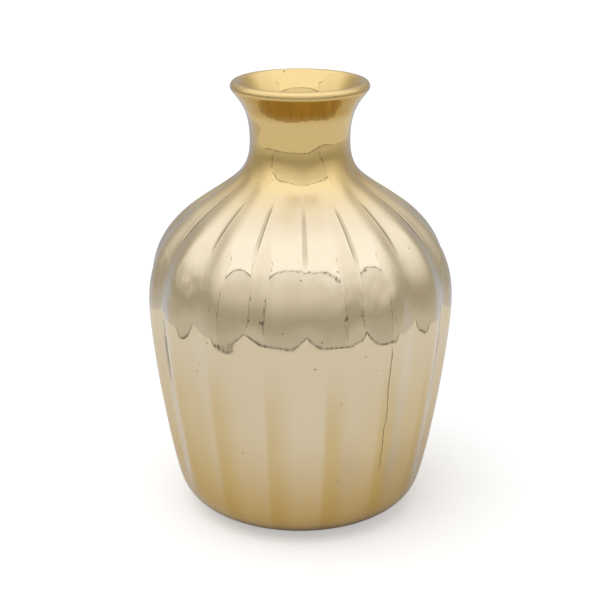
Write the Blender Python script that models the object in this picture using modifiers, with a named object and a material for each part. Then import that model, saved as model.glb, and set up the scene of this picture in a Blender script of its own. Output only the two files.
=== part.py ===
"""Bottle vase with soft vertical flutes, a drawn-in neck and a rolled lip, on four stick-on pads.

Metres, +Z up. The origin is on the ground under the middle of the vase, and the vase faces -Y.
The wall is one turned shell. The flutes are pressed into both of its faces, so the wall keeps its thickness.
"""

import math

import bmesh
import bpy
from mathutils import Vector, geometry

# Outline of the outer face. A lean is the wall's angle from the vertical, positive where it opens upwards.
FOOT_RADIUS = 0.0402
FOOT_CORNER = 0.0183
HIP_LEAN = math.radians(17.3)
BELLY_RADIUS = 0.0707
BELLY_HEIGHT = 0.1006
SHOULDER_RADIUS = 0.0472
SHOULDER_RISE = 0.0441
SHOULDER_LEAN = math.radians(-54.5)
NECK_RADIUS = 0.0227
NECK_RISE = 0.0296
LIP_RADIUS = 0.0313
LIP_RISE = 0.0265
LIP_LEAN = math.radians(37.0)
LIP_BEAD = 0.0024

# Pull of each stretch's curve at its lower and its upper end, as a share of the straight line between them
FLANK_PULL = (0.200, 0.209)
SHOULDER_PULL = (0.300, 0.490)
NECK_PULL = (0.520, 0.420)
FLARE_PULL = (0.57, 0.26)

# Wall and underside
WALL = 0.0045
FLOOR = 0.0050
RING_WIDTH = 0.0127
RECESS_DEPTH = 0.0020
RECESS_EDGE = 0.0008

# Flutes: a ridge stands next to the front, this far round from it
FLUTE_COUNT = 16
FLUTE_DEPTH = 0.0024
FLUTE_TURN = math.radians(-9.0)
FLUTE_START = 0.0070
FLUTE_RUN_IN = 0.0300
FLUTE_END = 0.0220
FLUTE_RUN_OUT = 0.0340

# Stick-on pads under the foot
PAD_COUNT = 4
PAD_RADIUS = 0.0045
PAD_THICKNESS = 0.0015
PAD_EDGE = 0.0003
PAD_TURN = math.radians(45)
SEAT_GAP = 0.0003

# Fineness of the facets: those of the outline are for its corner, flank, shoulder, neck and flare
STEPS_PER_FLUTE = 6
OUTER_FACETS = (4, 5, 9, 4, 4)
INNER_FACETS = (3, 3, 5, 3, 3)
LIP_FACETS = 7
PAD_STEPS = 24

MERGE_DISTANCE = 0.0001
SHARP_ANGLE = math.radians(40)

# Finishes: colour, metallic and roughness
PLATED_GOLD = ((0.83, 0.66, 0.36, 1.0), 1.0, 0.08)
PAD_FOAM = ((0.80, 0.79, 0.76, 1.0), 0.0, 0.9)

FOOT_HEIGHT = PAD_THICKNESS + SEAT_GAP
SEGMENTS = FLUTE_COUNT * STEPS_PER_FLUTE
SHOULDER_HEIGHT = BELLY_HEIGHT + SHOULDER_RISE
NECK_HEIGHT = SHOULDER_HEIGHT + NECK_RISE
LIP_HEIGHT = NECK_HEIGHT + LIP_RISE
RECESS_RADIUS = FOOT_RADIUS - RING_WIDTH
PAD_CIRCLE = FOOT_RADIUS - RING_WIDTH / 2


def clear_scene():
    for thing in list(bpy.data.objects):
        bpy.data.objects.remove(thing, do_unlink=True)


def material(name, colour, metallic, roughness):
    made = bpy.data.materials.new(name)
    made.use_nodes = True
    made.diffuse_color = colour
    shader = made.node_tree.nodes["Principled BSDF"]
    shader.inputs["Base Color"].default_value = colour
    shader.inputs["Metallic"].default_value = metallic
    shader.inputs["Roughness"].default_value = roughness
    return made


def direction(lean):
    """Unit vector that climbs the wall, in the outline's plane: x is the radius and y the height."""
    return Vector((math.sin(lean), math.cos(lean)))


def arc(centre, radius, start, end, facets):
    """Points of a round stretch, from one angle to another. Both ends are in the list."""
    angles = [start + (end - start) * i / facets for i in range(facets + 1)]
    return [centre + radius * Vector((math.cos(a), math.sin(a))) for a in angles]


def stretch(low, low_lean, high, high_lean, pull, facets):
    """Points of a smooth curve between two stations of the outline, climbing. The lower end is left out."""
    span = (high - low).length
    low_handle = low + direction(low_lean) * pull[0] * span
    high_handle = high - direction(high_lean) * pull[1] * span
    return list(geometry.interpolate_bezier(low, low_handle, high_handle, high, facets + 1))[1:]


def bead_centre():
    return Vector((LIP_RADIUS - LIP_BEAD, LIP_HEIGHT - LIP_BEAD))


def outer_outline(facets):
    """The outer face from the foot's flat ring up to where the lip's bead begins."""
    corner = arc(Vector((FOOT_RADIUS, FOOT_CORNER)), FOOT_CORNER, -math.pi / 2, -HIP_LEAN, facets[0])
    belly = Vector((BELLY_RADIUS, BELLY_HEIGHT))
    shoulder = Vector((SHOULDER_RADIUS, SHOULDER_HEIGHT))
    neck = Vector((NECK_RADIUS, NECK_HEIGHT))
    lip = lip_outline()[-1]
    return (
        corner
        + stretch(corner[-1], HIP_LEAN, belly, 0, FLANK_PULL, facets[1])
        + stretch(belly, 0, shoulder, SHOULDER_LEAN, SHOULDER_PULL, facets[2])
        + stretch(shoulder, SHOULDER_LEAN, neck, 0, NECK_PULL, facets[3])
        + stretch(neck, 0, lip, LIP_LEAN, FLARE_PULL, facets[4])
    )


def wall_at(height):
    """Thickness of the wall: it swells from the neck up to the lip's bead."""
    share = min(1.0, max(0.0, (height - NECK_HEIGHT) / LIP_RISE))
    return WALL + (2 * LIP_BEAD - WALL) * share


def inner_outline(outer):
    """The inner face, a wall's thickness inside the outer one but never below the floor's top, climbing."""
    floor_top = RECESS_DEPTH + FLOOR
    points = [Vector((0, floor_top))]
    for below, here, above in zip(outer, outer[1:], outer[2:]):
        climb = (above - below).normalized()
        point = here - wall_at(here.y) * Vector((climb.y, -climb.x))
        points.append(Vector((point.x, max(point.y, floor_top))))
    return points


def lip_outline():
    """The half circle of the lip's bead, from its inner side over the top to its outer side."""
    return arc(bead_centre(), LIP_BEAD, math.pi - LIP_LEAN, -LIP_LEAN, LIP_FACETS)


def underside_outline():
    """The flat ring that carries the vase and the shallow recess inside it."""
    return [
        Vector((RECESS_RADIUS, 0)),
        Vector((RECESS_RADIUS - RECESS_EDGE, RECESS_DEPTH)),
        Vector((0, RECESS_DEPTH)),
    ]


def vessel_outline():
    """The whole section, from the floor's middle over the lip and down the outside to the underside's middle."""
    inside = inner_outline(outer_outline(INNER_FACETS))
    outside = outer_outline(OUTER_FACETS)[-2::-1]
    return inside + lip_outline() + outside + underside_outline()


def ease(share):
    share = min(1.0, max(0.0, share))
    return share * share * (3 - 2 * share)


def flute_strength(height):
    """0 at the foot's corner and at the neck, 1 over the flank and the belly."""
    run_in = ease((height - FLUTE_START) / FLUTE_RUN_IN)
    run_out = ease((SHOULDER_HEIGHT + FLUTE_END - height) / FLUTE_RUN_OUT)
    return run_in * run_out


def press_flutes(mesh):
    """Moves the wall inwards between the ridges. The first ridge is at +X, and the floor's middle stays."""
    shape = bmesh.new()
    shape.from_mesh(mesh)
    for vertex in shape.verts:
        radius = max(WALL, math.hypot(vertex.co.x, vertex.co.y))
        angle = math.atan2(vertex.co.y, vertex.co.x)
        hollow = (1 - math.cos(FLUTE_COUNT * angle)) / 2
        depth = FLUTE_DEPTH * flute_strength(vertex.co.z) * hollow
        vertex.co.xy *= 1 - depth / radius
    shape.to_mesh(mesh)
    shape.free()


def turn(body):
    """Turns the object's line of edges once round Z and keeps the result as its mesh."""
    screw = body.modifiers.new("Turn", "SCREW")
    screw.steps = screw.render_steps = SEGMENTS
    screw.use_merge_vertices = True
    screw.merge_threshold = MERGE_DISTANCE
    evaluated = body.evaluated_get(bpy.context.evaluated_depsgraph_get())
    mesh = bpy.data.meshes.new_from_object(evaluated)
    body.modifiers.clear()
    body.data = mesh


def add_vessel(collection, finish):
    outline = vessel_outline()
    line = bpy.data.meshes.new("vessel_outline")
    edges = [(i, i + 1) for i in range(len(outline) - 1)]
    line.from_pydata([(p.x, 0, p.y) for p in outline], edges, [])
    body = bpy.data.objects.new("vessel", line)
    collection.objects.link(body)
    turn(body)
    mesh = body.data
    press_flutes(mesh)
    mesh.shade_smooth()
    mesh.set_sharp_from_angle(angle=SHARP_ANGLE)
    mesh.materials.append(finish)
    body.location.z = FOOT_HEIGHT
    body.rotation_euler.z = FLUTE_TURN


def pad_mesh(finish):
    """A short round pad about its own centre."""
    shape = bmesh.new()
    bmesh.ops.create_cone(
        shape,
        cap_ends=True,
        segments=PAD_STEPS,
        radius1=PAD_RADIUS,
        radius2=PAD_RADIUS,
        depth=PAD_THICKNESS,
    )
    mesh = bpy.data.meshes.new("pad")
    shape.to_mesh(mesh)
    shape.free()
    mesh.materials.append(finish)
    return mesh


def add_pads(collection, finish):
    mesh = pad_mesh(finish)
    for i in range(PAD_COUNT):
        angle = PAD_TURN + math.tau * i / PAD_COUNT
        pad = bpy.data.objects.new(f"foot_pad_{i + 1}", mesh)
        pad.location = (PAD_CIRCLE * math.cos(angle), PAD_CIRCLE * math.sin(angle), PAD_THICKNESS / 2)
        collection.objects.link(pad)
        edge = pad.modifiers.new("Edge", "BEVEL")
        edge.width = PAD_EDGE
        edge.segments = 1


def main():
    clear_scene()
    collection = bpy.data.collections.new("fluted_vase")
    bpy.context.scene.collection.children.link(collection)
    add_vessel(collection, material("plated_gold", *PLATED_GOLD))
    add_pads(collection, material("pad_foam", *PAD_FOAM))


main()
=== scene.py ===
"""Visual model of a fluted bottle vase plated in mirror gold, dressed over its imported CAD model.

Everything is in metres in the CAD frame: +Z up, -Y to the front, and the origin on the ground under the
middle of the vase.
"""

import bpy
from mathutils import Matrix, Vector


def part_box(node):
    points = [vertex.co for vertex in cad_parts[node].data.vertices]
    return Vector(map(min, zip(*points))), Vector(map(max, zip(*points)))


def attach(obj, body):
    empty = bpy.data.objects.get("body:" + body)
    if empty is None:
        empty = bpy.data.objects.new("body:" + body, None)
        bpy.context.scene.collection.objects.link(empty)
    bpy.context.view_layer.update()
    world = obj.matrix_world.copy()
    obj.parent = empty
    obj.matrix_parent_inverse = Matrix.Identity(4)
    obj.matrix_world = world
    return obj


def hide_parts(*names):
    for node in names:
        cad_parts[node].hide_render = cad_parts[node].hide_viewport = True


bl_info = {
    "name": "Fluted bottle vase",
    "version": (1, 0, 0),
    "blender": (4, 5, 0),
    "location": "3D View > Sidebar > Vase",
    "description": "Builds a gold-plated fluted vase, its foot pads and a pale studio",
    "category": "Add Mesh",
}

import math

import bmesh
import bpy
from bpy.props import FloatProperty, FloatVectorProperty, IntProperty, PointerProperty
from mathutils import Vector, geometry

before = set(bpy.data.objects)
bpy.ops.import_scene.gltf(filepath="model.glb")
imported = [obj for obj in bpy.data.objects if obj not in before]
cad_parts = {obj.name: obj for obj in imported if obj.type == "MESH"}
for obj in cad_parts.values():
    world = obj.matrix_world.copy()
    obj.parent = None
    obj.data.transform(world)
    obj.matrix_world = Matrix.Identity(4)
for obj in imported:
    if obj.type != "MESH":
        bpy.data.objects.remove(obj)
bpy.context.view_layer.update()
FOOT_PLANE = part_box("vessel")[0].z
PAD_NODES = sorted(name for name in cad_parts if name.startswith("foot_pad"))

IMAGE_SIZE = 600
SENSOR_WIDTH = 36.0
CLIP_START, CLIP_END = 0.01, 50.0


def length(name, default, description):
    """A length in metres that a user may change."""
    return FloatProperty(
        name=name,
        description=description,
        default=default,
        min=0.0,
        precision=4,
        subtype="DISTANCE",
        unit="LENGTH",
    )


def share(name, default, description, highest=1.0):
    """A plain number from 0 up."""
    return FloatProperty(
        name=name, description=description, default=default, min=0.0, max=highest, precision=3
    )


def turn(name, degrees, description):
    """An angle, given here in degrees."""
    return FloatProperty(
        name=name, description=description, default=math.radians(degrees), subtype="ANGLE"
    )


def colour(name, default, description):
    """A scene-linear colour."""
    return FloatVectorProperty(
        name=name, description=description, default=default, size=3, min=0.0, max=1.0, subtype="COLOR"
    )


def count(name, default, description):
    """A whole number from 1 up."""
    return IntProperty(name=name, description=description, default=default, min=1)


class VesselShape(bpy.types.PropertyGroup):
    """Stations of the vessel's outline and its flutes. Heights are above the foot's flat ring."""

    foot_radius: length("Foot radius", 0.0402, "Outer radius of the flat ring that the vase stands on")
    foot_corner: length("Foot corner", 0.0183, "Radius of the round corner between ring and flank")
    hip_lean: turn("Hip lean", 17.3, "Lean of the wall where the round corner ends")
    belly_radius: length("Belly radius", 0.0707, "Radius over the ridges at the widest place")
    belly_height: length("Belly height", 0.1006, "Height of the widest place")
    shoulder_radius: length("Shoulder radius", 0.0472, "Radius where the shoulder turns into the neck")
    shoulder_rise: length("Shoulder rise", 0.0441, "Height of that place above the belly")
    shoulder_lean: turn("Shoulder lean", -54.5, "Lean of the wall at that place")
    neck_radius: length("Neck radius", 0.0227, "Radius at the narrowest place")
    neck_rise: length("Neck rise", 0.0296, "Height of the narrowest place above the shoulder's station")
    lip_radius: length("Lip radius", 0.0313, "Outer radius of the lip's bead")
    lip_rise: length("Lip rise", 0.0265, "Height of the lip's top above the narrowest place")
    lip_lean: turn("Lip lean", 37.0, "Lean of the flare where it meets the bead")
    lip_bead: length("Lip bead", 0.0024, "Radius of the bead's round section")
    wall: length("Wall", 0.0045, "Thickness of the wall below the neck")
    floor: length("Floor", 0.0050, "Thickness of the floor")
    ring_width: length("Ring width", 0.0127, "Width of the flat ring")
    recess_depth: length("Recess depth", 0.0020, "Depth of the recess inside the ring")
    recess_edge: length("Recess edge", 0.0008, "Width of the slope into the recess")
    flutes: count("Flutes", 16, "Number of flutes round the vase")
    flute_depth: length("Flute depth", 0.0024, "Depth of a flute between two ridges")
    flute_turn: turn("Flute turn", -9.0, "How far the ridges are turned about the vase's axis")
    flute_start: length("Flute start", 0.0070, "Height where the flutes begin to sink in")
    flute_run_in: length("Flute run-in", 0.0300, "Height over which they reach their depth")
    flute_end: length("Flute end", 0.0220, "Height above the shoulder's station where the flutes have gone")
    flute_run_out: length("Flute run-out", 0.0340, "Height over which they fade")
    steps_per_flute: count("Steps per flute", 20, "Columns of faces in one flute")


class GoldFinish(bpy.types.PropertyGroup):
    """The plating, its clear coat and the ceramic under it."""

    gold: colour("Gold", (0.90, 0.755, 0.53), "Plating under thin lacquer")
    # Deep gold: painted reflection on the neck, which mirrors the gold shoulder, and the plating's colour in
    # the throat and in the overspray under the foot
    deep_gold_and_neck_reflection: colour("Deep gold", (0.87, 0.63, 0.27), "Plating under thick tinted lacquer")
    # Painted reflection: under the lip the flare mirrors the gold shoulder, deeper and darker than the
    # plating
    lip_painted_reflection: colour("Lip gold", (0.63, 0.38, 0.055), "Plating where the lacquer pooled under the lip")
    # Painted shade on the lower body: its stripes by the ridges stand for the vase's shadow on the table as
    # the plating mirrors it, and it also darkens the sides
    lower_body_painted_shade: colour("Ridge gold", (0.77, 0.56, 0.22), "Plating on the ridges of the lower body")
    # Painted shadow: the foot darkens towards the ground, as the plating mirrors the vase's contact shadow on
    # the table
    foot_painted_shadow: colour("Foot gold", (0.66, 0.43, 0.11), "Plating where the lacquer pooled at the foot")
    glaze: colour("Inside glaze", (0.72, 0.68, 0.58), "Glaze below the plating, inside the vase")
    bare: colour("Bare foot", (0.58, 0.54, 0.46), "Unglazed ceramic of the foot's ring")
    # Grime in the crack and the specks; the same colour also darkens the shoulder's creases
    grime: colour("Grime", (0.28, 0.20, 0.09), "What has settled in the creases, the crack and the specks")
    polish: share("Polish", 0.035, "Roughness of the clean plating")
    haze: share("Haze", 0.05, "Roughness that the hazy patches add")
    handled: share("Handled", 0.32, "Roughness that hands left on the upper shoulder")
    lacquer: share("Lacquer", 0.6, "Strength of the clear coat over the plating")
    ripple: length("Ripple", 0.0007, "Height of the slow waves that the casting leaves in the face")
    ripple_size: length("Ripple size", 0.017, "Distance from one slow wave to the next")
    crease: length("Crease", 0.00035, "Depth of the creases where the hollows run out on the shoulder")
    dent: length("Dent", 0.0009, "Depth of the pinched folds in the hollows below the belly")
    neck_ripple: length("Neck ripple", 0.0045, "Height of the waves and swells in the neck's face")
    wrinkle: length("Wrinkle", 0.0010, "Height of the short upright wrinkles at the belly")
    wrinkle_size: length("Wrinkle size", 0.0055, "Distance from one wrinkle to the next")
    peel: length("Orange peel", 0.000004, "Height of the lacquer's fine orange peel")
    peel_size: length("Orange peel size", 0.0022, "Distance from one dimple of the peel to the next")
    plated_depth: length("Plated depth", 0.035, "How far the plating reaches into the mouth")


class PadFinish(bpy.types.PropertyGroup):
    """The stick-on pads under the foot."""

    foam: colour("Foam", (0.60, 0.58, 0.54), "Colour of the pads")
    cell_size: length("Cell size", 0.00035, "Distance between the foam's cells")
    bulge: length("Bulge", 0.00012, "How far the side of a pad bulges under the vase's weight")
    edge: length("Edge", 0.0003, "Rounding of a pad's edges")
    sides: count("Sides", 64, "Faces round a pad")


class StudioSettings(bpy.types.PropertyGroup):
    """Floor, lights, the surroundings that the plating mirrors, and the camera."""

    floor_colour: colour("Floor colour", (0.74, 0.74, 0.74), "Colour of the pale floor")
    floor_lift: share("Floor lift", 0.42, "How much paler the floor shows than its lit colour")
    ambient: share("Ambient", 0.55, "Light that comes from all round", highest=10)
    key: share("Key light", 0.40, "Light that comes from above, with a soft shadow", highest=10)
    key_softness: turn("Key softness", 60, "Angle that the light from above fills")
    ceiling_glow: colour("Ceiling glow", (0.88, 0.915, 0.985), "Colour of the ceiling in the plating")
    table_glow: colour("Table glow", (0.55, 0.55, 0.53), "Colour of the far table in the plating")
    room_turn: turn("Room turn", 3, "How far the mirrored room is turned about the vase's axis")
    room_corner: turn("Room corner", 53, "Bearing of the room's front corners")
    table_edge: turn("Table edge", 24.5, "How far below the horizon the table's front edge lies")
    ceiling_edge: turn("Ceiling edge", 52, "Elevation of the ceiling's front edge")
    ceiling_side: turn("Ceiling side", 54, "Elevation of the ceiling's side edges")
    seam: share("Seams", 0.85, "Darkness of the seams of the mirrored room")
    table_reach: length("Table reach", 0.24, "Radius of the near table that the plating mirrors")
    camera_distance: length("Camera distance", 0.63, "Distance of the camera in front of the vase's axis")
    camera_height: length("Camera height", 0.3196, "Height of the camera")
    camera_pitch: turn("Camera pitch", 19.3, "How far the camera looks down")
    focal_pixels: FloatProperty(
        name="Focal length in pixels",
        description="Focal length in pixels of the photograph",
        default=1425.0,
        min=1.0,
    )


class Socket:
    """A node's output in an expression: each of Python's operators adds its Math node."""

    def __init__(self, shade, link):
        self.shade = shade
        self.link = link

    def __add__(self, other):
        return self.shade.math("ADD", self, other)

    def __radd__(self, other):
        return self.shade.math("ADD", other, self)

    def __sub__(self, other):
        return self.shade.math("SUBTRACT", self, other)

    def __rsub__(self, other):
        return self.shade.math("SUBTRACT", other, self)

    def __mul__(self, other):
        return self.shade.math("MULTIPLY", self, other)

    def __rmul__(self, other):
        return self.shade.math("MULTIPLY", other, self)

    def __truediv__(self, other):
        return self.shade.math("DIVIDE", self, other)

    def __rtruediv__(self, other):
        return self.shade.math("DIVIDE", other, self)

    def __pow__(self, other):
        return self.shade.math("POWER", self, other)

    def __rpow__(self, other):
        return self.shade.math("POWER", other, self)

    def __abs__(self):
        return self.shade.math("ABSOLUTE", self)

    def highest(self, other):
        return self.shade.math("MAXIMUM", self, other)


def fill_ramp(ramp, stops):
    """Sets the stops of a colour ramp, each a place from 0 to 1 and a colour."""
    while len(ramp.elements) > 1:
        ramp.elements.remove(ramp.elements[-1])
    for number, (place, tone) in enumerate(stops):
        stop = ramp.elements[0] if number == 0 else ramp.elements.new(place)
        stop.position = place
        stop.color = (*tone, 1.0)


def rgba(value):
    """A colour with the alpha that a node's socket wants; a link goes through as it is."""
    return value if isinstance(value, Socket) else (*value, 1.0)


class Shade:
    """A node tree under construction."""

    def __init__(self, tree):
        self.tree = tree
        self.tree.nodes.clear()

    def node(self, kind, settings=None, values=(), out=0):
        """Adds a node: its settings first, then the values or links of its sockets. Returns one output."""
        made = self.tree.nodes.new(kind)
        for name, value in (settings or {}).items():
            if name == "stops":
                fill_ramp(made.color_ramp, value)
            else:
                setattr(made, name, value)
        pairs = values.items() if isinstance(values, dict) else enumerate(values)
        for name, value in pairs:
            if isinstance(value, Socket):
                self.tree.links.new(value.link, made.inputs[name])
            elif value is not None:
                made.inputs[name].default_value = value
        return Socket(self, made.outputs[out]) if made.outputs else None

    def math(self, operation, *values, clamp=False):
        """A Math node on numbers and links."""
        return self.node("ShaderNodeMath", {"operation": operation, "use_clamp": clamp}, values)

    def place(self):
        """Position on the object, in metres."""
        return self.node("ShaderNodeTexCoord", out="Object")

    def split(self, vector):
        """The three numbers of a vector."""
        parts = self.node("ShaderNodeSeparateXYZ", values=[vector]).link.node
        return [Socket(self, output) for output in parts.outputs]

    def grain(self, vector, size, detail=2.0):
        """Noise from 0 to 1 whose features are about size across."""
        values = {"Vector": vector, "Scale": 1 / size, "Detail": detail}
        return self.node("ShaderNodeTexNoise", values=values)

    def ease(self, value, gone, full):
        """0 at the value gone and beyond it, 1 at the value full and beyond it, and smooth between them."""
        values = {"Value": value, "From Min": gone, "From Max": full}
        return self.node("ShaderNodeMapRange", {"interpolation_type": "SMOOTHSTEP"}, values)

    def within(self, value, rising, falling):
        """1 between two soft edges, each given as its values gone and full."""
        return self.ease(value, *rising) * self.ease(value, *falling)

    def mix(self, factor, first, second):
        """A colour between two colours."""
        values = {0: factor, 6: rgba(first), 7: rgba(second)}
        return self.node("ShaderNodeMix", {"data_type": "RGBA"}, values, out=2)

    def bump(self, height, distance, normal=None):
        """Normal of a face whose height changes by up to the distance."""
        values = {"Height": height, "Distance": distance, "Strength": 1.0, "Normal": normal}
        return self.node("ShaderNodeBump", values=values)

    def surface(self, values):
        """Ends the tree in a Principled shader with the given values and links."""
        self.finish(self.node("ShaderNodeBsdfPrincipled", values=values))

    def finish(self, shader):
        """Ends the tree in a shader."""
        self.node("ShaderNodeOutputMaterial", values={"Surface": shader})


def new_shade(name):
    """A new material and its empty tree."""
    made = bpy.data.materials.new(name)
    made.use_nodes = True
    return made, Shade(made.node_tree)


def eased(value):
    """A number from 0 to 1 with a soft start and end."""
    value = min(1.0, max(0.0, value))
    return value * value * (3 - 2 * value)


def direction(lean):
    """Unit vector that climbs the wall, in the outline's plane: x is the radius and y the height."""
    return Vector((math.sin(lean), math.cos(lean)))


def arc(centre, radius, start, end, steps):
    """Points of a round stretch, from one angle to another. Both ends are in the list."""
    angles = [start + (end - start) * i / steps for i in range(steps + 1)]
    return [centre + radius * Vector((math.cos(a), math.sin(a))) for a in angles]


def stretch(low, low_lean, high, high_lean, pull, steps):
    """A smooth curve between two stations of the outline, climbing. The lower end is left out."""
    span = (high - low).length
    low_handle = low + direction(low_lean) * pull[0] * span
    high_handle = high - direction(high_lean) * pull[1] * span
    return list(geometry.interpolate_bezier(low, low_handle, high_handle, high, steps + 1))[1:]


class Outline:
    """The vessel's section, from its stations."""

    FLANK_PULL = (0.200, 0.209)
    SHOULDER_PULL = (0.300, 0.490)
    NECK_PULL = (0.520, 0.420)
    FLARE_PULL = (0.57, 0.26)
    OUTER_STEPS = (14, 40, 60, 34, 26)
    INNER_STEPS = (8, 16, 24, 14, 16)
    LIP_STEPS = 22
    RECESS_STEPS = (0.25, 0.5, 0.75, 1.0)

    def __init__(self, shape):
        self.shape = shape
        self.shoulder_height = shape.belly_height + shape.shoulder_rise
        self.neck_height = self.shoulder_height + shape.neck_rise
        self.lip_height = self.neck_height + shape.lip_rise

    def lip(self):
        """The half circle of the lip's bead, from its inner side over the top to its outer side."""
        shape = self.shape
        centre = Vector((shape.lip_radius - shape.lip_bead, self.lip_height - shape.lip_bead))
        return arc(centre, shape.lip_bead, math.pi - shape.lip_lean, -shape.lip_lean, self.LIP_STEPS)

    def outer(self, steps):
        """The outer face from the foot's flat ring up to where the lip's bead begins."""
        shape = self.shape
        centre = Vector((shape.foot_radius, shape.foot_corner))
        corner = arc(centre, shape.foot_corner, -math.pi / 2, -shape.hip_lean, steps[0])
        belly = Vector((shape.belly_radius, shape.belly_height))
        shoulder = Vector((shape.shoulder_radius, self.shoulder_height))
        neck = Vector((shape.neck_radius, self.neck_height))
        return (
            corner
            + stretch(corner[-1], shape.hip_lean, belly, 0, self.FLANK_PULL, steps[1])
            + stretch(belly, 0, shoulder, shape.shoulder_lean, self.SHOULDER_PULL, steps[2])
            + stretch(shoulder, shape.shoulder_lean, neck, 0, self.NECK_PULL, steps[3])
            + stretch(neck, 0, self.lip()[-1], shape.lip_lean, self.FLARE_PULL, steps[4])
        )

    def wall_at(self, height):
        """Thickness of the wall: it swells from the neck up to the lip's bead."""
        rise = min(1.0, max(0.0, (height - self.neck_height) / self.shape.lip_rise))
        return self.shape.wall + (2 * self.shape.lip_bead - self.shape.wall) * rise

    def inner(self):
        """The inner face, climbing from the middle of the floor."""
        floor_top = self.shape.recess_depth + self.shape.floor
        outer = self.outer(self.INNER_STEPS)
        points = [Vector((0, floor_top))]
        for below, here, above in zip(outer, outer[1:], outer[2:]):
            climb = (above - below).normalized()
            point = here - self.wall_at(here.y) * Vector((climb.y, -climb.x))
            points.append(Vector((point.x, max(point.y, floor_top))))
        return points

    def underside(self):
        """The flat ring's inner edge, the soft slope into the recess and the recess up to its middle."""
        shape = self.shape
        edge = shape.foot_radius - shape.ring_width
        slope = [
            Vector((edge - shape.recess_edge * t, shape.recess_depth * eased(t))) for t in self.RECESS_STEPS
        ]
        flat = [Vector((edge / 2, shape.recess_depth)), Vector((0, shape.recess_depth))]
        return [Vector((edge, 0)), *slope, *flat]

    def flute_strength(self, height):
        """0 at the foot's corner and at the neck, 1 over the flank and the belly."""
        shape = self.shape
        run_in = eased((height - shape.flute_start) / shape.flute_run_in)
        run_out = eased((self.shoulder_height + shape.flute_end - height) / shape.flute_run_out)
        return run_in * run_out

    def fluted(self, point, angle):
        """A point of the section turned to an angle, with the flutes pressed in."""
        hollow = (1 - math.cos(self.shape.flutes * angle)) / 2
        radius = point.x - self.shape.flute_depth * self.flute_strength(point.y) * hollow
        turned = angle + self.shape.flute_turn
        return (radius * math.cos(turned), radius * math.sin(turned), point.y + FOOT_PLANE)


ON_AXIS = 1e-9
SHARP_ANGLE = math.radians(40)


def round_place(point, angle):
    """A point of a round section turned to an angle."""
    return (point.x * math.cos(angle), point.x * math.sin(angle), point.y)


def turned_mesh(name, sections, columns, place):
    """Faces between neighbours of a section turned round Z. A point on the axis becomes the middle of a fan.

    The sections are points with the material slot of the face that ends there.
    """
    verts, faces, slots, rows = [], [], [], []
    for point, _ in sections:
        if point.x < ON_AXIS:
            rows.append([len(verts)] * columns)
            verts.append(place(point, 0.0))
        else:
            rows.append(list(range(len(verts), len(verts) + columns)))
            verts.extend(place(point, math.tau * k / columns) for k in range(columns))
    for (low, high), (_, slot) in zip(zip(rows, rows[1:]), sections[1:]):
        for k in range(columns):
            after = (k + 1) % columns
            faces.append(tuple(dict.fromkeys((low[k], low[after], high[after], high[k]))))
            slots.append(slot)
    mesh = bpy.data.meshes.new(name)
    mesh.from_pydata(verts, [], faces)
    mesh.polygons.foreach_set("material_index", slots)
    mesh.validate()
    return mesh


def link_piece(name, data):
    """A new object in the scene, from a mesh, a lamp or a camera."""
    made = bpy.data.objects.new(name, data)
    bpy.context.scene.collection.objects.link(made)
    return made


def outward(mesh):
    """Turns every face to the outside of the closed mesh."""
    shape = bmesh.new()
    shape.from_mesh(mesh)
    bmesh.ops.recalc_face_normals(shape, faces=shape.faces)
    shape.to_mesh(mesh)
    shape.free()


# Heights on the plated face, above the ground: where each thing has gone and where it is full. The bands
# have such a pair at their lower end and another at their upper end.
LOWER_BODY = (0.100, 0.055)
FOOT_SHADOW_BAND = (0.064, 0.004)
CRACK_BAND = ((0.034, 0.040), (0.100, 0.094))
FOLD_BAND = ((0.050, 0.085), (0.113, 0.094))
WRINKLE_BAND = ((0.104, 0.114), (0.136, 0.120))
HANDLED_BAND = ((0.137, 0.147), (0.164, 0.154))
CREASE_BAND = ((0.139, 0.149), (0.164, 0.158))
NECK_WAVE_BAND = ((0.148, 0.162), (0.196, 0.186))

# The neck's face swells over these heights, by these shares of the neck's ripple
NECK_SWELLS = (((0.150, 0.165), 0.33), ((0.170, 0.188), 0.45))

# Depths below a station of the outline, between which the painted reflections on the neck and under the lip
# set in
NECK_BELOW_SHOULDER, NECK_BELOW_NECK = 0.004, 0.010
UNDER_LIP = (0.016, 0.010)
ON_LIP = (0.0045, 0.0025)

# Widths round the vase, in radians of the flutes' wave: a ridge lies at 0 and the middle of a hollow at pi
RIDGE_STRIPE = ((-1.45, -0.75), (2.1, -0.4))
FOLD_HALF_WIDTH = 2.2
CRACK_PLACE = -12.6
CRACK_LINE = (0.09, 0.03)
CRACK_WANDER = 0.9

# The creases lie where the flutes' wave, from -1 to 1, is this low, and start at heights that vary this much
CREASE_HOLLOW = (-0.93, -1.0)
CREASE_WANDER = 0.016

# Distance from the middle plane over which painted shade darkens the sides of the lower body
SIDE_SHADE = (0.008, 0.050)

# Sizes of the noise in the plating and its lacquer
CLOUD_SIZE = 0.045
HAZE_SIZE = 0.03
CREASE_SIZE = 0.03
NECK_WAVE_SIZE = 0.022
CRACK_SIZE = 0.012
SPECK_SIZE = 0.0021

# Values of the noise where a patch has gone and where it is full
HAZE_PATCH = (0.45, 0.75)
WRINKLE_PATCH = (0.35, 0.60)
SPECK_PATCH = (0.85, 0.87)

# Wrinkles are longer than wide: their noise is squeezed along the axis
WRINKLE_STRETCH = (1.0, 1.0, 0.35)

# Strengths of the tints: painted shade in the stripes, on the sides and at the foot, darkening in the
# creases, grime in the crack and the specks. The clouds add to the stripes' own strength.
STRIPE_TINT, STRIPE_CLOUDS = 0.25, 0.7
SIDE_TINT = 0.45
FOOT_TINT = 0.85
CREASE_DARKENING, CRACK_GRIME, SPECK_GRIME = 0.4, 0.85, 0.7

COAT_ROUGHNESS = 0.03
COAT_IOR = 1.45


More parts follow.
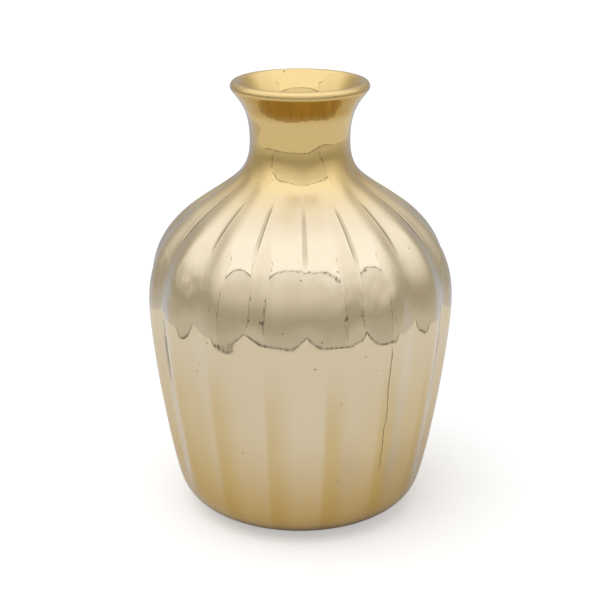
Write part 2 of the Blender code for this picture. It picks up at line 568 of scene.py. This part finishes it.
class PlatedFace:
    """Where a point of the plated face lies, and the marks that both its colour and its relief follow."""

    def __init__(self, shade, shape):
        self.place = shade.place()
        self.x, self.y, self.z = shade.split(self.place)
        self.angle = (shade.math("ARCTAN2", self.y, self.x) - shape.flute_turn) * shape.flutes
        self.clouds = shade.grain(self.place, CLOUD_SIZE)
        wave = shade.math("COSINE", self.angle)
        start = self.z + shade.grain(self.place, CREASE_SIZE) * CREASE_WANDER
        self.crease = shade.ease(wave, *CREASE_HOLLOW) * shade.within(start, *CREASE_BAND)


def surface_relief(shade, finish, place, pressed=None):
    """Normal of the plated face: slow waves of the casting under a fine orange peel."""
    waves = shade.grain(place, finish.ripple_size, detail=0.4)
    peel = shade.grain(place, finish.peel_size)
    return shade.bump(peel, finish.peel, shade.bump(waves, finish.ripple, pressed))


def plated_relief(shade, finish, face):
    """Normal of the outside: the neck's swells, wrinkles at the belly, pinched folds below it and creases."""
    swell = sum(shade.ease(face.z, *heights) * part for heights, part in NECK_SWELLS)
    waves = shade.grain(face.place, NECK_WAVE_SIZE, detail=0.0) - 0.5
    neck = shade.bump(waves * shade.within(face.z, *NECK_WAVE_BAND) + swell, finish.neck_ripple)
    upright = shade.node("ShaderNodeVectorMath", {"operation": "MULTIPLY"}, [face.place, WRINKLE_STRETCH])
    band = shade.within(face.z, *WRINKLE_BAND) * shade.ease(face.clouds, *WRINKLE_PATCH)
    wrinkles = (shade.grain(upright, finish.wrinkle_size, detail=1.0) - 0.5) * band
    from_hollow = shade.math("WRAP", face.angle, math.tau, 0.0) - math.pi
    pinch = (1 - abs(from_hollow) / FOLD_HALF_WIDTH).highest(0.0)
    fold = pinch * pinch * shade.within(face.z, *FOLD_BAND)
    folded = shade.bump(1 - fold, finish.dent, shade.bump(wrinkles, finish.wrinkle, neck))
    creased = shade.bump(1 - face.crease, finish.crease, folded)
    return surface_relief(shade, finish, face.place, creased)


def plated_tint(shade, finish, outline, face):
    """Colour of the outside: plain gold at the belly, painted shade at the foot and on the lower body,
    painted reflection on the neck and under the lip.
    """
    stripe = shade.within(shade.math("WRAP", face.angle, math.pi, -math.pi), *RIDGE_STRIPE)
    low = shade.ease(face.z, *LOWER_BODY)
    foot = shade.ease(face.z, *FOOT_SHADOW_BAND)
    lip_top = FOOT_PLANE + outline.lip_height
    neck_start = FOOT_PLANE + outline.shoulder_height - NECK_BELOW_SHOULDER
    neck = shade.ease(face.z, neck_start, FOOT_PLANE + outline.neck_height - NECK_BELOW_NECK)
    under_lip = shade.ease(face.z, *(lip_top - depth for depth in UNDER_LIP))
    on_lip = shade.ease(face.z, *(lip_top - depth for depth in ON_LIP))
    wander = face.angle - CRACK_PLACE + shade.grain(face.place, CRACK_SIZE) * CRACK_WANDER
    crack = shade.ease(abs(wander), *CRACK_LINE) * shade.within(face.z, *CRACK_BAND)
    specks = shade.ease(shade.grain(face.place, SPECK_SIZE, detail=0.0), *SPECK_PATCH)
    layers = (
        # Painted shade: stripes and sides of the lower body, darker towards the bottom
        (low * stripe * (STRIPE_TINT + face.clouds * STRIPE_CLOUDS), finish.lower_body_painted_shade),
        (low * shade.ease(abs(face.x), *SIDE_SHADE) * SIDE_TINT, finish.lower_body_painted_shade),
        # Painted shadow at the foot
        (foot * (FOOT_TINT + stripe * (1 - FOOT_TINT)), finish.foot_painted_shadow),
        # Painted reflection on the neck
        (neck, finish.deep_gold_and_neck_reflection),
        # Painted reflection under the lip
        (under_lip * (1 - on_lip), finish.lip_painted_reflection),
        # Darker in the creases, grime in the crack and the specks
        (face.crease * CREASE_DARKENING + crack * CRACK_GRIME + specks * SPECK_GRIME, finish.grime),
    )
    tint = finish.gold
    for amount, tone in layers:
        tint = shade.mix(amount, tint, tone)
    return tint


def gold_material(finish, outline):
    """Mirror plating under a clear coat, with painted shade and painted reflection in its colour, hazy in
    patches and dull where hands hold the vase.
    """
    made, shade = new_shade("plated_gold")
    face = PlatedFace(shade, outline.shape)
    haze = shade.ease(shade.grain(face.place, HAZE_SIZE, detail=4.0), *HAZE_PATCH)
    handled = shade.within(face.z, *HANDLED_BAND)
    shade.surface({
        "Base Color": plated_tint(shade, finish, outline, face),
        "Metallic": 1.0,
        "Roughness": finish.polish + haze * finish.haze + handled * finish.handled,
        "Coat Weight": finish.lacquer,
        "Coat Roughness": COAT_ROUGHNESS,
        "Coat IOR": COAT_IOR,
        "Normal": plated_relief(shade, finish, face),
    })
    return made


SPRAY_FADE = 0.012
SPRAY_SIZE = 0.006
GLAZE_ROUGHNESS = 0.25
PLATED_ROUGHNESS = 0.06


def inside_material(finish, outline):
    """Plating down to a soft sprayed edge in the throat, and cream glaze below it."""
    made, shade = new_shade("mouth_and_inside")
    place = shade.place()
    height = shade.split(place)[2]
    edge = outline.lip_height + FOOT_PLANE - finish.plated_depth
    spray = shade.grain(place, SPRAY_SIZE, detail=5.0) * SPRAY_FADE
    plated = shade.ease(height + spray, edge, edge + SPRAY_FADE)
    shade.surface({
        "Base Color": shade.mix(plated, finish.glaze, finish.deep_gold_and_neck_reflection),
        "Metallic": plated,
        "Roughness": GLAZE_ROUGHNESS - plated * (GLAZE_ROUGHNESS - PLATED_ROUGHNESS),
        "Normal": surface_relief(shade, finish, place),
    })
    return made


OVERSPRAY_SIZE = 0.0015
OVERSPRAY_WANDER = 0.004
OVERSPRAY_EDGE = (-0.002, 0.003)
OVERSPRAY_ROUGHNESS = 0.2
GRIT_SIZE = 0.0004
GRIT_HEIGHT = 0.00004
GRIT_SHADE = 0.8
BARE_ROUGHNESS = 0.8


def darker(tone, part):
    """A colour with each of its numbers brought down to a part of it."""
    return [value * part for value in tone]


def underside_material(finish, shape):
    """Bare ceramic of the ring, with the plating's overspray fading over its outer edge."""
    made, shade = new_shade("foot_underside")
    place = shade.place()
    x, y, _ = shade.split(place)
    radius = (x * x + y * y) ** 0.5
    spray = shade.grain(place, OVERSPRAY_SIZE, detail=4.0) * OVERSPRAY_WANDER
    plated = shade.ease(radius + spray, *(shape.foot_radius + reach for reach in OVERSPRAY_EDGE))
    grit = shade.grain(place, GRIT_SIZE, detail=3.0)
    bare = shade.mix(grit, finish.bare, darker(finish.bare, GRIT_SHADE))
    shade.surface({
        "Base Color": shade.mix(plated, bare, finish.deep_gold_and_neck_reflection),
        "Metallic": plated,
        "Roughness": BARE_ROUGHNESS - plated * (BARE_ROUGHNESS - OVERSPRAY_ROUGHNESS),
        "Normal": shade.bump(grit, GRIT_HEIGHT),
    })
    return made


GOLD, INSIDE, UNDERSIDE = 0, 1, 2


class VASE_OT_vessel(bpy.types.Operator):
    """Builds the fluted vessel with its lip, inside and underside"""

    bl_idname = "vase.vessel"
    bl_label = "Vessel"

    def execute(self, context):
        shape, finish = context.scene.vessel_shape, context.scene.gold_finish
        outline = Outline(shape)
        outside = outline.lip() + outline.outer(outline.OUTER_STEPS)[-2::-1]
        faces = ((outline.inner(), INSIDE), (outside, GOLD), (outline.underside(), UNDERSIDE))
        sections = [(point, slot) for points, slot in faces for point in points]
        columns = shape.flutes * shape.steps_per_flute
        mesh = turned_mesh("fluted_vessel", sections, columns, outline.fluted)
        outward(mesh)
        mesh.shade_smooth()
        mesh.set_sharp_from_angle(angle=SHARP_ANGLE)
        mesh.materials.append(gold_material(finish, outline))
        mesh.materials.append(inside_material(finish, outline))
        mesh.materials.append(underside_material(finish, shape))
        piece = link_piece("fluted_vessel", mesh)
        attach(piece, "root")
        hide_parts("vessel")
        return {"FINISHED"}


DUST_SIZE = 0.002
DUST_AMOUNT = 0.5
DUST_SHADE = 0.7
FOAM_ROUGHNESS, CELL_ROUGHNESS = 0.8, 0.15
CELL_DEPTH = 0.00005
PAD_EDGE_STEPS = 5
PAD_RINGS = (0.3, 0.6)
PAD_SIDE_STEPS = (0.25, 0.5, 0.75)


def foam_material(finish):
    """Closed-cell foam: fine cells in its face, a little dust in the colour."""
    made, shade = new_shade("pad_foam")
    place = shade.place()
    cells = shade.node("ShaderNodeTexVoronoi", values={"Vector": place, "Scale": 1 / finish.cell_size})
    dust = shade.grain(place, DUST_SIZE, detail=4.0)
    shade.surface({
        "Base Color": shade.mix(dust * DUST_AMOUNT, finish.foam, darker(finish.foam, DUST_SHADE)),
        "Roughness": FOAM_ROUGHNESS + cells * CELL_ROUGHNESS,
        "Normal": shade.bump(cells, CELL_DEPTH),
    })
    return made


def pad_section(radius, height, finish):
    """Half section of a pad, from the middle of its top to the middle of its underside."""
    edge, side = finish.edge, radius - finish.bulge
    rings = [side * part for part in PAD_RINGS]
    top = [Vector((0, height)), *(Vector((ring, height)) for ring in rings)]
    top_edge = arc(Vector((side - edge, height - edge)), edge, math.pi / 2, 0, PAD_EDGE_STEPS)
    bulge = [
        Vector((side + finish.bulge * math.sin(math.pi * t), height - edge - (height - 2 * edge) * t))
        for t in PAD_SIDE_STEPS
    ]
    low_edge = arc(Vector((side - edge, edge)), edge, 0, -math.pi / 2, PAD_EDGE_STEPS)
    underside = [*(Vector((ring, 0)) for ring in reversed(rings)), Vector((0, 0))]
    return top + top_edge + bulge + low_edge + underside


def pad_mesh(name, low, high, finish):
    """A round pad that fills the box between two corners."""
    centre, size = (low + high) / 2, high - low

    def place(point, angle):
        x, y, z = round_place(point, angle)
        return (centre.x + x, centre.y + y, low.z + z)

    section = [(point, 0) for point in pad_section(size.x / 2, size.z, finish)]
    mesh = turned_mesh(name, section, finish.sides, place)
    outward(mesh)
    mesh.shade_smooth()
    return mesh


class VASE_OT_foot_pads(bpy.types.Operator):
    """Builds the stick-on pads under the foot"""

    bl_idname = "vase.foot_pads"
    bl_label = "Foot pads"

    def execute(self, context):
        finish = context.scene.pad_finish
        foam = foam_material(finish)
        for number, node in enumerate(PAD_NODES, 1):
            name = f"soft_pad_{number}"
            mesh = pad_mesh(name, *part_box(node), finish)
            mesh.materials.append(foam)
            piece = link_piece(name, mesh)
            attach(piece, "root")
            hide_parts(node)
        return {"FINISHED"}


def seen_directly(shade):
    """1 for what the camera sees, straight or by a mirror or glass, and else 0."""
    path = shade.node("ShaderNodeLightPath").link.node
    kinds = ("Is Camera Ray", "Is Glossy Ray", "Is Transmission Ray")
    straight, glossy, through = (Socket(shade, path.outputs[kind]) for kind in kinds)
    return shade.math("ADD", straight + glossy, through, clamp=True)


def mirrored_only(thing):
    """Hides a thing of the stage from all but mirrored rays."""
    thing.visible_camera = False
    thing.visible_diffuse = False
    thing.visible_transmission = False
    thing.visible_shadow = False
    thing.visible_volume_scatter = False


def stage_piece(name, mesh, material):
    """A thing of the stage, which is no part of the vase."""
    made = link_piece(name, mesh)
    mesh.materials.append(material)
    return made


FLOOR_REACH = 12
FLOOR_HEIGHT = -0.0002
TABLE_HEIGHT = 0.0006
TURNED_COLUMNS = 96


def floor_mesh():
    """A wide square, a hair below the plane that the vase stands on."""
    sides = ((-1, -1), (1, -1), (1, 1), (-1, 1))
    rim = [(x * FLOOR_REACH, y * FLOOR_REACH, FLOOR_HEIGHT) for x, y in sides]
    mesh = bpy.data.meshes.new("pale_floor")
    mesh.from_pydata(rim, [], [(0, 1, 2, 3)])
    return mesh


def floor_material(studio):
    """A pale floor that shows paler than the light makes it, and keeps its shadow."""
    made, shade = new_shade("pale_floor")
    diffuse = shade.node("ShaderNodeBsdfDiffuse", values={"Color": rgba(studio.floor_colour)})
    lift = shade.node("ShaderNodeEmission", values={"Strength": seen_directly(shade) * studio.floor_lift})
    shade.finish(shade.node("ShaderNodeAddShader", values=[diffuse, lift]))
    return made


def table_mesh(studio):
    """The round table top under the vase, just above the floor."""
    section = [(Vector((radius, TABLE_HEIGHT)), 0) for radius in (0, studio.table_reach)]
    return turned_mesh("mirrored_table", section, TURNED_COLUMNS, round_place)


def table_material(studio):
    """The floor's colour without its lift, under the vase's shadow."""
    made, shade = new_shade("mirrored_table")
    shade.finish(shade.node("ShaderNodeBsdfDiffuse", values={"Color": rgba(studio.floor_colour)}))
    return made


ROOM_RADIUS = 2.4
ROOM_EYE = 0.12
ROOM_STRENGTH = 1.25
ROOM_RINGS = 48


def wall_stops(*stops):
    """Stops of a ramp over the elevation, from degrees and brightness as the plating shows it."""
    return [((degrees + 90) / 180, [part / ROOM_STRENGTH for part in glow]) for degrees, glow in stops]


# The front, the side and the back walls
ROOM_WALLS = (
    wall_stops(
        (-21, (0.50, 0.50, 0.47)), (-12, (0.44, 0.43, 0.39)), (-4, (0.405, 0.395, 0.35)),
        (3, (0.44, 0.43, 0.39)), (12, (0.56, 0.555, 0.53)), (21, (0.665, 0.665, 0.655)),
        (33, (0.77, 0.78, 0.79)), (45, (0.90, 0.93, 0.98)),
    ),
    wall_stops(
        (-18, (0.54, 0.54, 0.51)), (-9, (0.43, 0.42, 0.37)), (-2, (0.39, 0.375, 0.32)),
        (5, (0.43, 0.42, 0.37)), (15, (0.60, 0.595, 0.565)), (25, (0.77, 0.78, 0.77)),
        (38, (0.96, 0.985, 1.03)), (51, (1.04, 1.07, 1.14)),
    ),
    wall_stops(
        (-21, (0.57, 0.60, 0.69)), (-10, (0.42, 0.43, 0.46)), (3, (0.41, 0.395, 0.37)),
        (15, (0.45, 0.43, 0.385)), (27, (0.55, 0.53, 0.475)), (38, (0.71, 0.70, 0.64)),
        (46, (0.88, 0.89, 0.85)), (57, (1.08, 1.10, 1.09)),
    ),
)

# How far ahead a direction points, from 1 in front of the vase to -1 behind it: where the walls blend, and
# where the table's edge and the seams have gone and are full
CORNER_BLEND = 0.12
BACK_WALL = (-0.25, -0.75)
TABLE_SIDES = (0.35, 0.05)
CEILING_SEAM_FRONT = (0.2, 0.5)
TABLE_SEAM_FRONT = (0.0, 0.3)

# How steeply a direction rises: how soft the edges are, and between which slopes the corners' seams show
CEILING_FADE = (-0.04, 0.12)
TABLE_FADE = (0.012, -0.012)
TABLE_SIDE_RISE = 0.085
CORNER_SEAM_BAND = ((-0.40, -0.20), (0.60, 0.20))

# Seams: distance from their edge, half their width, and the share of their darkness where they break off
CEILING_SEAM = (-0.04, 0.06, 0.3)
TABLE_SEAM = (0.015, 0.020, 0.4)
CORNER_SEAM = (0.0, 0.034, 0.35)
CORNER_WANDER = 0.03
SEAM_SIZE = 0.30
SEAM_PATCH = (0.44, 0.60)

# Patches on the walls, and the brightness that they leave and add
WALL_PATCH_SIZE = 0.35
WALL_PATCH_BASE, WALL_PATCH_GAIN = 0.95, 0.1


def room_mesh():
    """The closed round room that the plating mirrors, a ball turned round Z."""
    ball = arc(Vector((0, ROOM_EYE)), ROOM_RADIUS, -math.pi / 2, math.pi / 2, ROOM_RINGS)[1:-1]
    section = [Vector((0, ROOM_EYE - ROOM_RADIUS)), *ball, Vector((0, ROOM_EYE + ROOM_RADIUS))]
    return turned_mesh("mirrored_room", [(point, 0) for point in section], TURNED_COLUMNS, round_place)


def seam_line(distance, seam, breaks, darkness):
    """1 away from a seam and less on it. The breaks are 0 where it breaks off and 1 where it is whole."""
    offset, half_width, least = seam
    line = (1 - abs(distance - offset) / half_width).highest(0.0)
    return 1 - line * ((least + breaks * (1 - least)) * darkness)


def room_material(studio):
    """Colour of the room by where it lies, seen from the vase: pale table, grey walls, bright ceiling."""
    made, shade = new_shade("mirrored_room")
    place = shade.place()
    x, y, z = shade.split(place)
    across = (x * x + y * y) ** 0.5
    rise = (z - ROOM_EYE) / across
    ahead = (x * math.sin(studio.room_turn) - y * math.cos(studio.room_turn)) / across
    corner = math.cos(studio.room_corner)
    beside = shade.ease(ahead, corner + CORNER_BLEND, corner - CORNER_BLEND)
    behind = shade.ease(ahead, *BACK_WALL)
    height = shade.math("ARCTANGENT", rise) / math.pi + 0.5
    front, side, back = (
        shade.node("ShaderNodeValToRGB", {"stops": walls}, [height]) for walls in ROOM_WALLS
    )
    glow = shade.mix(behind, shade.mix(beside, front, side), back)
    over = rise - (ahead * math.tan(studio.ceiling_edge)).highest(beside * math.tan(studio.ceiling_side))
    above = rise + math.tan(studio.table_edge) - shade.ease(ahead, *TABLE_SIDES) * TABLE_SIDE_RISE
    glow = shade.mix(shade.ease(over, *CEILING_FADE), glow, studio.ceiling_glow)
    glow = shade.mix(shade.ease(above, *TABLE_FADE), glow, studio.table_glow)
    breaks = shade.ease(shade.grain(place, SEAM_SIZE), *SEAM_PATCH)
    level = shade.within(rise, *CORNER_SEAM_BAND)
    seams = (
        seam_line(over, CEILING_SEAM, breaks, studio.seam * shade.ease(ahead, *CEILING_SEAM_FRONT))
        * seam_line(above, TABLE_SEAM, breaks, studio.seam * shade.ease(ahead, *TABLE_SEAM_FRONT))
        * seam_line(ahead - corner + breaks * CORNER_WANDER, CORNER_SEAM, breaks, studio.seam * level)
    )
    patches = WALL_PATCH_BASE + shade.grain(place, WALL_PATCH_SIZE, detail=3.0) * WALL_PATCH_GAIN
    strength = patches * seams * ROOM_STRENGTH
    shade.finish(shade.node("ShaderNodeEmission", values={"Color": glow, "Strength": strength}))
    return made


KEY_ROTATION = (math.radians(12), math.radians(-14), 0)


class VASE_OT_studio(bpy.types.Operator):
    """Builds the pale floor, the lights, what the plating mirrors, and the camera"""

    bl_idname = "vase.studio"
    bl_label = "Studio"

    def execute(self, context):
        scene, studio = context.scene, context.scene.studio_settings
        floor = stage_piece("pale_floor", floor_mesh(), floor_material(studio))
        floor.visible_glossy = False
        mirrored_only(stage_piece("mirrored_table", table_mesh(studio), table_material(studio)))
        mirrored_only(stage_piece("mirrored_room", room_mesh(), room_material(studio)))
        self.light(scene, studio)
        self.camera(scene, studio)
        scene.view_settings.view_transform = "Standard"
        return {"FINISHED"}

    def light(self, scene, studio):
        """A world that shows white and lights less, and a soft lamp above."""
        world = bpy.data.worlds.new("pale_room")
        scene.world = world
        world.use_nodes = True
        shade = Shade(world.node_tree)
        strength = studio.ambient + seen_directly(shade) * (1 - studio.ambient)
        white = {"Color": (1, 1, 1, 1), "Strength": strength}
        background = shade.node("ShaderNodeBackground", values=white)
        shade.node("ShaderNodeOutputWorld", values={"Surface": background})
        lamp = bpy.data.lights.new("key_light", "SUN")
        lamp.energy = studio.key * math.pi
        lamp.angle = studio.key_softness
        key = link_piece("key_light", lamp)
        key.rotation_euler = KEY_ROTATION
        key.visible_glossy = False

    def camera(self, scene, studio):
        """The camera that was fitted to the photograph."""
        lens = bpy.data.cameras.new("camera")
        lens.sensor_width = SENSOR_WIDTH
        lens.lens = SENSOR_WIDTH * studio.focal_pixels / IMAGE_SIZE
        lens.clip_start, lens.clip_end = CLIP_START, CLIP_END
        eye = link_piece("camera", lens)
        eye.location = (0, -studio.camera_distance, studio.camera_height)
        eye.rotation_euler = (math.pi / 2 - studio.camera_pitch, 0, 0)
        scene.camera = eye


class VASE_PT_sidebar(bpy.types.Panel):
    """Buttons and settings of the vase"""

    bl_idname = "VASE_PT_sidebar"
    bl_label = "Fluted bottle vase"
    bl_space_type = "VIEW_3D"
    bl_region_type = "UI"
    bl_category = "Vase"

    def draw(self, context):
        for groups, operator in SECTIONS:
            box = self.layout.box()
            box.operator(operator.bl_idname)
            for group in groups:
                owner = getattr(context.scene, group)
                for name in owner.__annotations__:
                    box.prop(owner, name)


GROUPS = {
    "vessel_shape": VesselShape,
    "gold_finish": GoldFinish,
    "pad_finish": PadFinish,
    "studio_settings": StudioSettings,
}
SECTIONS = (
    (("vessel_shape", "gold_finish"), VASE_OT_vessel),
    (("pad_finish",), VASE_OT_foot_pads),
    (("studio_settings",), VASE_OT_studio),
)
CLASSES = (*GROUPS.values(), VASE_OT_vessel, VASE_OT_foot_pads, VASE_OT_studio, VASE_PT_sidebar)


def register():
    for made in CLASSES:
        bpy.utils.register_class(made)
    for name, group in GROUPS.items():
        setattr(bpy.types.Scene, name, PointerProperty(type=group))


def unregister():
    for name in GROUPS:
        delattr(bpy.types.Scene, name)
    for made in reversed(CLASSES):
        bpy.utils.unregister_class(made)


def main():
    register()
    bpy.ops.vase.studio()
    bpy.ops.vase.vessel()
    bpy.ops.vase.foot_pads()


if __name__ == "__main__":
    main()
